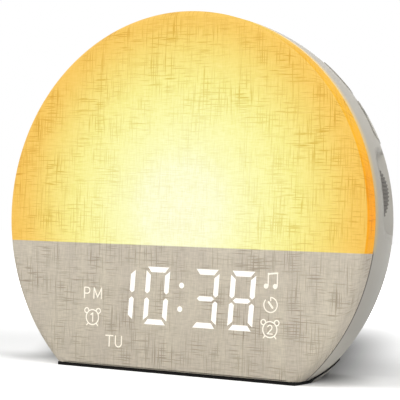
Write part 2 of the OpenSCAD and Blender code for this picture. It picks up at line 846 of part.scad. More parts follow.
// Parts on the front of the board: [x, height above the board's middle, width, height, thickness]
chips = [[6, 4, 10, 10, 1.2], [-12, -8, 7, 7, 1], [22, -9, 5, 6, 1.4], [-27, 2, 6, 5, 1.5],
    [13, -13, 4, 3, 1], [-3, 15, 3, 2, 1]];
cans = [[24, 3, 3.2, 7], [-24, -12, 4, 8], [-34, -6, 2.5, 6], [34, -8, 2.5, 6]];

module main_chips() color(black_c) placed() {
    for (c = chips) block([c[0] - c[2] / 2, c[0] + c[2] / 2], [main_y - c[4], main_y],
        [-main_drop + c[1] - c[3] / 2, -main_drop + c[1] + c[3] / 2]);
    for (c = cans) rod(c[0], -main_drop + c[1], c[2], main_y - c[3], main_y);
}

// Sockets: where each cable meets the board
light_socket = [header_x + 4, 13];
display_socket = [0, -13];
dial_socket = [36, 3];
right_socket = [26, 13];
left_socket = [-32, 13];
speaker_socket = [0, 13];

module socket(at, w) block([at[0] - w / 2, at[0] + w / 2], [main_y - plug_t, main_y],
    [-main_drop + at[1] - plug_h / 2, -main_drop + at[1] + plug_h / 2]);

module main_connectors() color(white_c) placed() {
    socket(light_socket, ribbon_w + 2);
    socket(display_socket, ribbon_w + 2);
    for (at = [dial_socket, right_socket, left_socket]) socket(at, 6);
    block([speaker_socket[0] - 3, speaker_socket[0] + 3], [main_back, main_back + plug_t],
        [-main_drop + speaker_socket[1] - plug_h / 2, -main_drop + speaker_socket[1] + plug_h / 2]);
}

module main_screws() color(steel_c) placed() for (x = [-1, 1], z = [-1, 1])
    screw_back(x * main_screw_x, -main_drop + z * main_screw_dz, screw_r, 9, screw_head_r,
        screw_head_t, main_y);

// A flat cable through points in Y and Z
module ribbon(x, points) {
    up = [for (p = points) p + [0, ribbon_t / 2]];
    down = [for (i = [len(points) - 1:-1:0]) points[i] - [0, ribbon_t / 2]];
    translate([x - ribbon_w / 2, 0, centre_z]) rotate([90, 0, 90]) linear_extrude(ribbon_w)
        polygon(concat(up, down));
}

module display_ribbon() color(white_c) placed() {
    y0 = display_board_back;
    z0 = -digit_drop - 18;
    block([-ribbon_w / 2 - 1, ribbon_w / 2 + 1], [y0, y0 + 3], [z0 - 2, z0 + 2]);
    ribbon(0, [[y0 + 3, z0], [y0 + 8, z0], [main_y - 11, -main_drop + display_socket[1]],
        [main_y - plug_t, -main_drop + display_socket[1]]]);
}

module light_ribbon() color(white_c) placed() {
    y0 = tray_floor + header_len;
    ribbon(light_socket[0], [[y0, -header_drop], [y0 + 6, -header_drop],
        [main_y - 11, -main_drop + light_socket[1]], [main_y - plug_t, -main_drop + light_socket[1]]]);
}

// ---------------------------------------------------------------- speaker

module speaker_frame() color(steel_c) placed() difference() {
    union() {
        sheet(flange_y, flange_y + flange_t) translate([0, speaker_z])
            rounded(speaker_d, speaker_d, 4);
        translate([0, 0, speaker_z]) turned() polygon([[basket_end_r - 4, plate_y], [basket_end_r, plate_y],
            [basket_r, flange_y], [basket_r - 1, flange_y], [basket_end_r - 1, plate_y + 1],
            [basket_end_r - 4, plate_y + 1]]);
    }
    translate([0, 0, speaker_z]) turned() polygon([[0, flange_y - 1], [basket_r - 1, flange_y - 1],
        [basket_r - 1, depth], [0, depth]]);
    for (x = [-1, 1], z = [-1, 1])
        rod(x * speaker_screw_d, speaker_z + z * speaker_screw_d, speaker_hole_r, 0, depth);
    for (a = [0:90:270]) at_centre() translate([0, 0, speaker_z]) rotate([0, a + 45, 0])
        translate([0, plate_y + 2, basket_end_r - 3]) translate([-5, 0, 0])
            cube([10, basket_depth - 4, speaker_r]);
}

module speaker_cone() color(cone_c) placed() translate([0, 0, speaker_z]) turned() polygon(concat(
    [[0, plate_y + 5.4], [6, plate_y + 4.6], [7.5, plate_y + 3.2]],
    [[basket_r - 5.2, flange_y], [basket_r - 3.6, flange_y + 0.9], [basket_r - 1.8, flange_y],
        [basket_r - 1.1, flange_y], [basket_r - 1.1, flange_y - 0.5], [basket_r - 2, flange_y - 0.5],
        [basket_r - 3.6, flange_y + 0.3], [basket_r - 5, flange_y - 0.5]],
    [[7.4, plate_y + 2.6], [5.8, plate_y + 4.1], [0, plate_y + 4.9]]));

module speaker_magnet() color(steel_c) placed() {
    rod(0, speaker_z, magnet_r, plate_y - magnet_t, plate_y);
    rod(0, speaker_z, basket_end_r - 4 - fit, plate_y, plate_y + 1);
}

module speaker_gasket() color(black_c) placed() difference() {
    sheet(flange_y + flange_t, back_in) translate([0, speaker_z])
        circle(speaker_r - fit);
    rod(0, speaker_z, speaker_r - gasket_w, 0, depth);
    for (x = [-1, 1], z = [-1, 1])
        rod(x * speaker_screw_d, speaker_z + z * speaker_screw_d, 3 + fit, 0, depth);
}

module speaker_screws() color(steel_c) placed() for (x = [-1, 1], z = [-1, 1])
    screw_back(x * speaker_screw_d, speaker_z + z * speaker_screw_d, speaker_hole_r - 0.2,
        gasket_t + flange_t + 1, small_head_r, small_head_t, flange_y);

module speaker_leads() color(copper_c) placed() for (x = [-1.5, 1.5])
    wire([[x, speaker_z - magnet_r], [x, speaker_socket[1] - main_drop + plug_h / 2 + fit]],
        plate_y - wire_w - fit);

// ---------------------------------------------------------------- power

module dc_jack() color(black_c) placed() difference() {
    union() {
        block([jack_x - jack_w / 2, jack_x + jack_w / 2], [main_back, back_in],
            [-jack_drop - jack_h / 2, -jack_drop + jack_h / 2]);
        rod(jack_x, -jack_drop, nose_r, back_in - eps, depth - 0.6);
    }
    difference() {
        rod(jack_x, -jack_drop, socket_r, depth - 0.6 - jack_bore, depth);
        rod(jack_x, -jack_drop, pin_r, 0, depth - 1.6);
    }
}

module coin_cell() color(steel_c) placed() {
    rod(cell_x, -cell_drop, cell_d / 2, cell_back - cell_t * 0.8, cell_back);
    rod(cell_x, -cell_drop, cell_d / 2 - 1.2, cell_back - cell_t, cell_back - cell_t * 0.8);
}

module cell_holder() color(black_c) placed() difference() {
    block([cell_x - holder_w / 2, cell_x + holder_w / 2], [holder_y, cell_back - 0.4],
        [-cell_drop - holder_w / 2, -cell_drop + holder_w / 2]);
    rod(cell_x, -cell_drop, cell_d / 2 + 0.2, holder_y + holder_floor, depth);
}

module cell_contact() color(brass_c) placed()
    block([cell_x - 4, cell_x + 4], [holder_y + holder_floor, holder_y + holder_floor + contact_t],
        [-cell_drop - cell_d / 4, -cell_drop + cell_d / 4]);

// Outline of the battery door, taken in by inset
module door_outline(y0, y1, inset) {
    w = pocket_w + 2 * door_margin - 2 * inset;
    sheet(y0, y1) translate([cell_x, -cell_drop]) rounded(w, w, 2.5 - inset);
    rod(door_screw_x, -cell_drop, door_lug_r - inset, y0, y1);
}

module battery_door() color(plastic_c) placed() difference() {
    union() {
        door_outline(depth - door_t, depth, 0.2);
        sheet(cell_back + fit, depth - door_t + eps) translate([cell_x, -cell_drop])
            circle(cell_d / 2 - 3);
    }
    rod(door_screw_x, -cell_drop, door_screw_r + 0.2, 0, depth + 1);
    rod(door_screw_x, -cell_drop, small_head_r + 0.15, depth - door_screw_head_t, depth + 1);
    for (k = [-1:1]) block([cell_x - 6, cell_x + 6], [depth - 0.4, depth + 1],
        [-cell_drop + k * 2.4 - 0.5, -cell_drop + k * 2.4 + 0.5]);
}

module door_screw() color(steel_c) placed() {
    rod(door_screw_x, -cell_drop, door_screw_r, depth - door_t - 3.6, depth - door_screw_head_t);
    rod(door_screw_x, -cell_drop, small_head_r, depth - door_screw_head_t, depth - 0.1);
}

module case_screws() color(steel_c) placed() for (s = [-1, 1])
    screw_front(s * case_x, -case_drop, screw_r, case_head_y - display_back + 4, screw_head_r,
        screw_head_t, case_head_y);

// ---------------------------------------------------------------- buttons

// A button cap that follows the housing, with the lip that holds it in and its stem
module key(i) color(plastic_c) placed() {
    difference() {
        union() {
            intersection() {
                key_space(i, 0, key_board_r + 1, face_r + 5);
                dome(-key_raise, housing_front);
            }
            intersection() {
                key_space(i, key_lip, key_board_r + 1, face_r + 5);
                dome(lip_inset, housing_front);
            }
        }
        dome(lip_inset + key_lip_t, housing_front - 1);
    }
    outward(key_angles[i]) translate([0, key_y, plunger_top])
        cylinder(r = stem_r, h = stem_top - plunger_top);
}

module plunger(i) color(black_c) placed() outward(key_angles[i]) translate([0, key_y, plunger_base])
    cylinder(r = plunger_r, h = plunger_t);

module snooze_button() key(0);
module alarm_one_button() key(1);
module alarm_two_button() key(2);
module light_button() key(3);
module sound_button() key(4);
module snooze_plunger() plunger(0);
module alarm_one_plunger() plunger(1);
module alarm_two_plunger() plunger(2);
module light_plunger() plunger(3);
module sound_plunger() plunger(4);

module key_boards() color(board_c) placed() for (a = key_angles) outward(a) difference() {
    translate([-key_board_w / 2, key_y - key_board_len / 2, key_board_r - board_t])
        cube([key_board_w, key_board_len, board_t]);
    for (s = [-1, 1]) translate([0, key_y + s * key_post_y, key_board_r - board_t - 1])
        cylinder(r = small_screw_r + 0.2, h = board_t + 2);
}

module key_switches() color(steel_c) placed() for (a = key_angles) outward(a) difference() {
    translate([-switch_w / 2, key_y - switch_w / 2, key_board_r]) cube([switch_w, switch_w, switch_t]);
    translate([0, key_y, plunger_base - key_travel - 0.1]) cylinder(r = plunger_r + fit, h = switch_t + 2);
}

module key_screws() color(steel_c) placed() for (a = key_angles, s = [-1, 1])
    outward(a) translate([0, key_y + s * key_post_y, key_board_r - board_t]) {
        cylinder(r = small_screw_r, h = board_t + small_screw_len - 1.5);
        translate([0, 0, -small_head_t]) cylinder(r = small_head_r, h = small_head_t);
    }

// A point on the underside of a button's board, or further in by drop
function under_board(a, drop) = (key_board_r - board_t - wire_w / 2 - drop) * [cos(a), sin(a)];
key_lead_x = dial_board_x[0] - 5.4;
key_lead_y = main_y - 3;

module key_leads() color(copper_c) placed() for (s = [-1, 1]) {
    low = s > 0 ? lower_a : 180 - lower_a;
    high = s > 0 ? upper_a : 180 - upper_a;
    at = s > 0 ? right_socket : left_socket;
    socket_z = at[1] - main_drop + plug_h / 2;
    from_snooze = [under_board(snooze_a, 0), under_board(75, 3), under_board(62, 3)];
    wire(concat(s > 0 ? from_snooze : [], [under_board(high, 0),
        under_board((high + low) / 2, 3), under_board(low, 0), [s * key_lead_x, dial_z + 10],
        [s * key_lead_x, -8], [at[0], socket_z + 5], [at[0], socket_z]]), key_lead_y);
}

// ---------------------------------------------------------------- dial

module volume_dial() color(grip_c) placed() difference() {
    rod(dial_x, dial_z, dial_r, dial_y, dial_back);
    rod(dial_x, dial_z, shaft_r + fit, dial_y + 1.4, dial_back + 1);
    for (k = [1:dial_grooves]) {
        a = 360 * k / dial_grooves;
        translate([dial_x + dial_r * cos(a), dial_y - 1, centre_z + dial_z + dial_r * sin(a)])
            rotate([-90, 0, 0]) cylinder(r = groove_r, h = dial_t + 2, $fn = 16);
    }
}

module encoder_shaft() color(steel_c) placed() rod(dial_x, dial_z, shaft_r, dial_y + 1.5, encoder_y + 3);

module encoder() color(steel_c) placed() difference() {
    union() {
        rod(dial_x, dial_z, bushing_r, bushing_y, encoder_y + eps);
        block([dial_x - encoder_w / 2, dial_x + encoder_w / 2], [encoder_y, dial_board_y],
            [dial_z - encoder_w / 2, dial_z + encoder_w / 2]);
    }
    rod(dial_x, dial_z, shaft_r + fit, 0, encoder_y + 3.2);
}

module dial_board() color(board_c) placed() difference() {
    block(dial_board_x, [dial_board_y, dial_board_y + board_t], dial_board_z);
    for (s = [-1, 1])
        rod(dial_post_x, dial_z + s * dial_post_dz, small_screw_r + 0.2, 0, depth);
}

module dial_board_screws() color(steel_c) placed() for (s = [-1, 1])
    screw_back(dial_post_x, dial_z + s * dial_post_dz, small_screw_r, board_t + small_screw_len - 1,
        small_head_r, small_head_t, dial_board_y);

module dial_leads() color(copper_c) placed() {
    y = dial_board_y + board_t;
    socket_z = dial_socket[1] - main_drop + plug_h / 2;
    wire([[dial_x, dial_board_z[0] + 3], [dial_x - 4, dial_board_z[0] - 4],
        [dial_socket[0], socket_z + 16], [dial_socket[0], socket_z - 1]], y);
    block([dial_socket[0] - 2.5, dial_socket[0] + 2.5], [y, main_y - plug_t],
        [socket_z - plug_h, socket_z]);
}

rear_housing();
front_cover();
front_fabric();
base_pad();
light_tray();
sunrise_board();
sunrise_leds();
light_header();
display_face();
display_body();
display_segments();
display_icons();
display_leds();
display_board();
display_screws();
main_board();
main_chips();
main_connectors();
main_screws();
display_ribbon();
light_ribbon();
speaker_leads();
dial_leads();
key_leads();
speaker_frame();
speaker_cone();
speaker_magnet();
speaker_gasket();
speaker_screws();
dc_jack();
coin_cell();
cell_holder();
cell_contact();
battery_door();
door_screw();
case_screws();
key_boards();
key_switches();
key_screws();
dial_board();
dial_board_screws();
encoder();
encoder_shaft();
volume_dial();
snooze_button();
alarm_one_button();
alarm_two_button();
light_button();
sound_button();
snooze_plunger();
alarm_one_plunger();
alarm_two_plunger();
light_plunger();
sound_plunger();
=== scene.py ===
import json
from math import cos, hypot, pi, radians, sin, tan

import bpy
from mathutils import Matrix, Vector


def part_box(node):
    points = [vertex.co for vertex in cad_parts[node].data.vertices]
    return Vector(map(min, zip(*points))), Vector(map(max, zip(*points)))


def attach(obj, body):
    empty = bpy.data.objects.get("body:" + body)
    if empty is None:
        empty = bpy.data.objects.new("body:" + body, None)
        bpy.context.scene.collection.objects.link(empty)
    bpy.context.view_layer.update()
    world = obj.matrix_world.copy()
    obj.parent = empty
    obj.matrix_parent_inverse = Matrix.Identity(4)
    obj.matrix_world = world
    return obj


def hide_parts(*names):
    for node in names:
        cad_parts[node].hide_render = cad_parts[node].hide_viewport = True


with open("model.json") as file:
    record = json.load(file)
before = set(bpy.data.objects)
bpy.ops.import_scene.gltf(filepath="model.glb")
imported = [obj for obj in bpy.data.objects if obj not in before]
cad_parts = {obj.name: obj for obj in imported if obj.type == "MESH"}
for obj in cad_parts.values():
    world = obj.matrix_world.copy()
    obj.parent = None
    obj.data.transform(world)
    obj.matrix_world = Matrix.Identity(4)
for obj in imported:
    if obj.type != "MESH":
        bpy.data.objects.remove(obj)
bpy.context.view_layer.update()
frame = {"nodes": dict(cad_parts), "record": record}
scene = bpy.context.scene
print("frame loaded")

# The circle of the clock's face, read from the frame
fabricLow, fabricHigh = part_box("front_fabric")
faceRadius = (fabricHigh.x - fabricLow.x) / 2
faceZ = fabricHigh.z - faceRadius
footZ = fabricLow.z
frontY = fabricLow.y
seamY = fabricHigh.y
splitZ = 0.0587                      # the lamp glows above this height
hair = 0.0001                        # places nearer than this count as one
squarely = 0.9                       # a face whose normal has this much of a direction faces it


# Selecting and shaping

def leaveEdit():
    bpy.ops.object.mode_set(mode="OBJECT")


def onlySelect(piece):
    if bpy.context.object and bpy.context.object.mode != "OBJECT":
        leaveEdit()
    bpy.ops.object.select_all(action="DESELECT")
    piece.select_set(True)
    bpy.context.view_layer.objects.active = piece


def editWhere(piece, kind, chosen):
    # opens edit mode with the faces or edges that chosen() picks
    onlySelect(piece)
    bpy.ops.object.mode_set(mode="EDIT")
    bpy.ops.mesh.select_mode(type=kind)
    bpy.ops.mesh.select_all(action="DESELECT")
    leaveEdit()
    parts = piece.data.polygons if kind == "FACE" else piece.data.edges
    for part in parts:
        part.select = bool(chosen(part))
    bpy.ops.object.mode_set(mode="EDIT")


def editAll(piece):
    onlySelect(piece)
    bpy.ops.object.mode_set(mode="EDIT")
    bpy.ops.mesh.select_mode(type="FACE")
    bpy.ops.mesh.select_all(action="SELECT")


def endsOf(piece, edge):
    return [piece.data.vertices[i].co for i in edge.vertices]


def roundEdges(width, steps):
    # rounds the selected edges and leaves edit mode
    bpy.ops.mesh.bevel(offset=width, segments=steps, profile=0.5, affect="EDGES")
    leaveEdit()


def applyModifier(piece, kind, **settings):
    onlySelect(piece)
    modifier = piece.modifiers.new(kind.title(), kind)
    for name, value in settings.items():
        setattr(modifier, name, value)
    bpy.ops.object.modifier_apply(modifier=modifier.name)


def settle(piece, name):
    # puts the piece's place into its mesh and names it
    onlySelect(piece)
    bpy.ops.object.transform_apply(location=True, rotation=True, scale=True)
    piece.name = name
    piece.data.name = name
    return piece


def smooth(piece, degrees):
    onlySelect(piece)
    bpy.ops.object.shade_smooth_by_angle(angle=radians(degrees))


def smoothBroadly(piece, degrees):
    # the broad faces set the shading, so that they look flat up to their soft edges
    smooth(piece, degrees)
    applyModifier(piece, "WEIGHTED_NORMAL", mode="FACE_AREA", weight=90, keep_sharp=True)


def mergedCopy(node, name):
    # a copy of a CAD node whose loose triangles are joined, to be shaped further
    piece = bpy.data.objects.new(name, frame["nodes"][node].data.copy())
    scene.collection.objects.link(piece)
    piece.data.name = name
    editAll(piece)
    bpy.ops.mesh.remove_doubles(threshold=0.000002)
    leaveEdit()
    return piece


def finishPiece(piece, body, material, standsFor=()):
    piece.data.materials.clear()
    piece.data.materials.append(material)
    if standsFor:
        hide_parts(*standsFor)
    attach(piece, body)


# Building materials

def screenColour(red, green, blue):
    # a colour as seen on a screen, 0 to 255, as the linear values that a shader takes
    def linear(value):
        value /= 255
        return value / 12.92 if value <= 0.04045 else ((value + 0.055) / 1.055) ** 2.4
    return (linear(red), linear(green), linear(blue), 1)


def shaded(colour, factor):
    return (colour[0] * factor, colour[1] * factor, colour[2] * factor, 1)


def grey(level):
    return (level, level, level, 1)


def newMaterial(name, colour, roughness):
    material = bpy.data.materials.new(name)
    material.use_nodes = True
    material.diffuse_color = colour
    shader = material.node_tree.nodes["Principled BSDF"]
    shader.inputs["Base Color"].default_value = colour
    shader.inputs["Roughness"].default_value = roughness
    return material, shader


def addNode(material, kind, **settings):
    node = material.node_tree.nodes.new(kind)
    for name, value in settings.items():
        setattr(node, name, value)
    return node


def plug(material, source, target):
    # source is a socket, or a number or colour to set on the target
    if isinstance(source, bpy.types.NodeSocket):
        material.node_tree.links.new(source, target)
    else:
        target.default_value = source


def calculate(material, operation, *values):
    node = addNode(material, "ShaderNodeMath", operation=operation)
    for value, socket in zip(values, node.inputs):
        plug(material, value, socket)
    return node.outputs[0]


def fade(material, value, start, end):
    # 0 at start, 1 at end, eased between
    node = addNode(material, "ShaderNodeMapRange", interpolation_type="SMOOTHSTEP")
    plug(material, value, node.inputs["Value"])
    node.inputs["From Min"].default_value = start
    node.inputs["From Max"].default_value = end
    return node.outputs["Result"]


def blendColours(material, amount, first, second, blend="MIX"):
    node = addNode(material, "ShaderNodeMix", data_type="RGBA", blend_type=blend)
    plug(material, amount, node.inputs["Factor"])
    plug(material, first, node.inputs[6])
    plug(material, second, node.inputs[7])
    return node.outputs[2]


def tinted(material, colour, tint):
    return blendColours(material, 1.0, colour, tint, "MULTIPLY")


def colourRamp(material, value, stops):
    node = addNode(material, "ShaderNodeValToRGB")
    plug(material, value, node.inputs["Fac"])
    elements = node.color_ramp.elements
    while len(elements) < len(stops):
        elements.new(0.5)
    for element, (position, colour) in zip(elements, stops):
        element.position = position
        element.color = colour
    return node.outputs["Color"]


def noiseColours(material, value, colours):
    # spreads the colours over the middle of a noise, where most of its values lie
    low, high = 0.3, 0.7
    step = (high - low) / (len(colours) - 1)
    return colourRamp(material, value, [
        (low + step * i, colour) for i, colour in enumerate(colours)])


def noise(material, vector, scale, detail=2.0, stretch=(1, 1, 1), flat=False):
    mapping = addNode(material, "ShaderNodeMapping")
    plug(material, vector, mapping.inputs["Vector"])
    mapping.inputs["Scale"].default_value = stretch
    node = addNode(material, "ShaderNodeTexNoise", noise_dimensions="2D" if flat else "3D")
    plug(material, mapping.outputs["Vector"], node.inputs["Vector"])
    node.inputs["Scale"].default_value = scale
    node.inputs["Detail"].default_value = detail
    return node.outputs["Fac"]


def objectPlace(material):
    return addNode(material, "ShaderNodeTexCoord").outputs["Object"]


def axesOf(material, vector):
    # the sockets X, Y and Z
    split = addNode(material, "ShaderNodeSeparateXYZ")
    plug(material, vector, split.inputs["Vector"])
    return split.outputs


def lengthOf(material, vector):
    node = addNode(material, "ShaderNodeVectorMath", operation="LENGTH")
    plug(material, vector, node.inputs[0])
    return node.outputs["Value"]


def addBump(material, shader, height, distance, strength):
    bump = addNode(material, "ShaderNodeBump")
    bump.inputs["Strength"].default_value = strength
    bump.inputs["Distance"].default_value = distance
    plug(material, height, bump.inputs["Height"])
    plug(material, bump.outputs["Normal"], shader.inputs["Normal"])


# The linen front

linen = {
    "sides": 288,
    "edgeRound": 0.0037,
    "edgeSteps": 8,
    "footRound": 0.0006,
    "footSteps": 3,
    "footReach": 0.002,              # faces this near to the foot turn under it
    "thickness": 0.0005,
    "smoothUpTo": 35,                # in degrees
    "colour": screenColour(190, 181, 166),
    "roughness": 0.85,
    "sheen": 0.1,
    "sheenRoughness": 0.5,
    "shine": 0.15,
    "bump": (0.0002, 0.4),           # depth and strength
    "threads": 3100.0,               # threads to a metre, each way
    "threadShift": 7.31,             # sets each thread's slubs apart from its neighbour's
    "threadLooks": (230, 3.7, 1),    # changes of look along a metre of thread, and across
    "threadShades": (0.88, 1.12),    # lightness of the darkest and the lightest threads
    "slubLength": (105.0, 66.0),     # slubs to a metre, in the threads across and upright
    "slubFade": (0.56, 0.82),        # lower makes more of each thread a slub
    "slubPatches": (60, 60, 1),      # to a metre, across and upright
    "patchFade": (0.15, 0.75),
    "slubShade": screenColour(153, 142, 126),
    "drift": (95, 22, 1),            # slow changes of shade to a metre, across and upright
    "driftShades": ((0.955, 0.950, 0.955, 1), (1.04, 1.045, 1.03, 1)),
    "bandPaintedShade": 0.94,               # painted shade: the band below the lamp is darkened to this share of the front's lightness
    "bandFrom": (0.0017, 0.0021),    # depths between which the front goes over to the band
    "splitFade": 0.00015,            # half the width of the blur at the split
    "hotSpot": (0.003, 0.003),       # the brightest place, from the circle's centre
    "glowStrength": 0.812,
    "glowInBaseColour": 0.16,                # share of the lamp's glow that is also painted into the lit cloth's base colour, as painted lamp light
    "glow": [                        # distance from the brightest place in metres, and colour
        (0.000, (255, 254, 214)), (0.020, (254, 254, 208)), (0.030, (253, 252, 188)),
        (0.045, (252, 248, 168)), (0.060, (250, 240, 147)), (0.075, (248, 222, 121)),
        (0.085, (248, 207, 103)), (0.094, (248, 199, 92)),
    ],
    "band": [                        # height above the centre in metres, and colour
        (-0.013, (246, 172, 30)), (0.000, (255, 167, 20)), (0.016, (250, 165, 10)),
        (0.032, (255, 184, 30)), (0.048, (250, 190, 46)), (0.061, (252, 194, 54)),
        (0.073, (244, 186, 48)), (0.085, (243, 200, 80)),
    ],
    "slubGlow": (0.78, 0.68, 0.41, 1),     # what a slub leaves of the lamp's light
    "slubOutward": (0.02, 0.07),     # slubs show more from here to there, from the brightest place
    "slubInside": 0.25,              # how much they show inside that
    "slubMore": 0.85,                # and how much more outside
    "threadGlow": ((0.96, 0.95, 0.84, 1), (1, 1, 1, 1), (1.03, 1.04, 1.14, 1)),
}


def weaveOf(material):
    # slubs, where a thread is thick, and the look of the threads, from both ways of the weave
    weave = addNode(material, "ShaderNodeUVMap", uv_map="weave").outputs["UV"]
    flat = axesOf(material, weave)
    slubs, looks = [], []
    for along, across, slubLength in zip("XY", "YX", linen["slubLength"]):
        thread = calculate(material, "FLOOR", calculate(
            material, "MULTIPLY", flat[across], linen["threads"]))
        strand = addNode(material, "ShaderNodeCombineXYZ")
        plug(material, flat[along], strand.inputs["X"])
        plug(material, calculate(material, "MULTIPLY", thread, linen["threadShift"]),
             strand.inputs["Y"])
        strand = strand.outputs["Vector"]
        streak = noise(material, strand, 1.0, 0.0, (slubLength, 1, 1), flat=True)
        patch = noise(material, weave, 1.0, 1.0, linen["slubPatches"], flat=True)
        slubs.append(calculate(material, "MULTIPLY", fade(material, streak, *linen["slubFade"]),
                               fade(material, patch, *linen["patchFade"])))
        looks.append(noise(material, strand, 1.0, 1.0, linen["threadLooks"], flat=True))
    drift = noise(material, weave, 1.0, 1.0, linen["drift"], flat=True)
    return calculate(material, "MAXIMUM", *slubs), calculate(material, "ADD", *looks), drift


def lampGlow(material, place, onBand, slubs, look):
    # the lamp's light, as it comes through the front and its band
    at = axesOf(material, place)
    offset = addNode(material, "ShaderNodeCombineXYZ")
    plug(material, calculate(material, "SUBTRACT", at["X"], linen["hotSpot"][0]),
         offset.inputs["X"])
    plug(material, calculate(material, "SUBTRACT", at["Z"], faceZ + linen["hotSpot"][1]),
         offset.inputs["Z"])
    distance = lengthOf(material, offset.outputs["Vector"])
    reach = linen["glow"][-1][0]
    front = colourRamp(material, calculate(material, "DIVIDE", distance, reach), [
        (far / reach, screenColour(*colour)) for far, colour in linen["glow"]])
    low, high = linen["band"][0][0], linen["band"][-1][0]
    height = calculate(material, "DIVIDE", calculate(
        material, "SUBTRACT", at["Z"], faceZ + low), high - low)
    band = colourRamp(material, height, [
        ((level - low) / (high - low), screenColour(*colour)) for level, colour in linen["band"]])
    glow = blendColours(material, onBand, front, band)
    outward = calculate(material, "MULTIPLY_ADD", fade(material, distance, *linen["slubOutward"]),
                        linen["slubMore"], linen["slubInside"])
    glow = blendColours(material, calculate(material, "MULTIPLY", slubs, outward), glow,
                        tinted(material, glow, linen["slubGlow"]))
    return tinted(material, glow, noiseColours(material, look, linen["threadGlow"]))


def linenMaterial():
    material, shader = newMaterial("linenCloth", linen["colour"], linen["roughness"])
    place = objectPlace(material)
    at = axesOf(material, place)
    slubs, looks, drift = weaveOf(material)
    look = calculate(material, "MULTIPLY", looks, 0.5)
    cloth = noiseColours(material, look, [
        shaded(linen["colour"], shade) for shade in linen["threadShades"]])
    cloth = blendColours(material, slubs, cloth, linen["slubShade"])
    cloth = tinted(material, cloth, noiseColours(material, drift, linen["driftShades"]))
    onBand = fade(material, at["Y"], *(frontY + depth for depth in linen["bandFrom"]))
    # painted shade on the band below the lamp
    cloth = blendColours(material, onBand, cloth, tinted(material, cloth, grey(linen["bandPaintedShade"])))

    glow = lampGlow(material, place, onBand, slubs, look)
    lit = fade(material, at["Z"], splitZ - linen["splitFade"], splitZ + linen["splitFade"])
    # the lit cloth's base colour carries painted lamp light: the glow, dimmed
    plug(material, blendColours(material, lit, cloth, tinted(
        material, glow, grey(linen["glowInBaseColour"]))), shader.inputs["Base Color"])
    plug(material, blendColours(material, lit, grey(0), tinted(
        material, glow, grey(linen["glowStrength"]))), shader.inputs["Emission Color"])
    shader.inputs["Emission Strength"].default_value = 1.0
    shader.inputs["Sheen Weight"].default_value = linen["sheen"]
    shader.inputs["Sheen Roughness"].default_value = linen["sheenRoughness"]
    shader.inputs["Specular IOR Level"].default_value = linen["shine"]
    addBump(material, shader, calculate(material, "SUBTRACT", looks, slubs), *linen["bump"])
    return material


def layWeave(piece):
    # lays the cloth out flat: the face as seen, and the band turned out around it
    piece.data.uv_layers.new(name="weave")
    for old in [one for one in piece.data.uv_layers if one.name != "weave"]:
        piece.data.uv_layers.remove(old)
    layer = piece.data.uv_layers["weave"]
    for face in piece.data.polygons:
        underFoot = abs(face.normal.z) > squarely and face.center.z < footZ + linen["footReach"]
        for loop in face.loop_indices:
            x, y, z = piece.data.vertices[piece.data.loops[loop].vertex_index].co
            depth = y - frontY
            away = Vector((0, -1)) if underFoot else Vector((x, z - faceZ)).normalized()
            layer.data[loop].uv = (x + away.x * depth, z + away.y * depth)


def declareLinen(bandDepth):
    # the cloth as it lies flat: a round cut off at the foot, and the band around it
    drop = faceZ - footZ
    halfFoot = (faceRadius ** 2 - drop ** 2) ** 0.5
    arc = 2 * pi - 2 * Vector((0, -1)).angle(Vector((halfFoot, -drop)))
    area = faceRadius ** 2 * arc / 2 + halfFoot * drop
    area += (faceRadius * arc + 2 * halfFoot) * bandDepth


def makeLinenFront():
    bandDepth = seamY - frontY
    bpy.ops.object.select_all(action="DESELECT")
    bpy.ops.mesh.primitive_cylinder_add(
        vertices=linen["sides"], radius=faceRadius, depth=bandDepth, end_fill_type="NGON",
        location=(0, (frontY + seamY) / 2, faceZ), rotation=(pi / 2, 0, 0))
    piece = settle(bpy.context.object, "linenFront")
    editWhere(piece, "EDGE", lambda edge: all(
        end.y < frontY + hair for end in endsOf(piece, edge)))
    roundEdges(linen["edgeRound"], linen["edgeSteps"])
    editAll(piece)
    bpy.ops.mesh.bisect(plane_co=(0, 0, footZ), plane_no=(0, 0, 1), clear_inner=True,
                        use_fill=True)
    leaveEdit()
    editWhere(piece, "FACE", lambda face: face.normal.y > squarely)     # opens the back
    bpy.ops.mesh.delete(type="FACE")
    leaveEdit()
    editWhere(piece, "EDGE", lambda edge: all(
        end.y < frontY + hair and end.z < footZ + hair for end in endsOf(piece, edge)))
    roundEdges(linen["footRound"], linen["footSteps"])
    applyModifier(piece, "SOLIDIFY", thickness=linen["thickness"], offset=-1,
                  use_even_offset=True)
    layWeave(piece)
    smooth(piece, linen["smoothUpTo"])
    finishPiece(piece, "clock", linenMaterial(), ["front_fabric"])
    declareLinen(bandDepth)


makeLinenFront()
print("linen front made")


# The lit time and signs, as light that comes through the cloth

litDisplay = {
    "standOff": 0.00006,
    "thickness": 0.00004,
    "thinned": 0.00010,              # how much narrower than their guides the strokes appear
    "timeColour": screenColour(253, 250, 244),
    "signColour": screenColour(243, 236, 222),
    "threadColour": screenColour(232, 225, 211),
    "threadsAcross": (1900, 1, 160),       # to a metre
    "threadsUpright": (160, 1, 1900),
    "threadFade": (0.6, 0.8),
    "strength": 0.92,
    "unlit": 0.2,                    # lightness of the strokes without their light
    "roughness": 0.6,
    "barLength": 0.005,              # anything longer than this is a bar, the rest a dot
    "litSides": {                    # which sides of each cell are lit: 1 0 : 3 8
        0: ("rightTop", "rightBottom"),
        1: ("top", "bottom", "leftTop", "leftBottom", "rightTop", "rightBottom"),
        2: ("top", "middle", "bottom", "rightTop", "rightBottom"),
        3: ("top", "middle", "bottom", "leftTop", "leftBottom", "rightTop", "rightBottom"),
    },
}


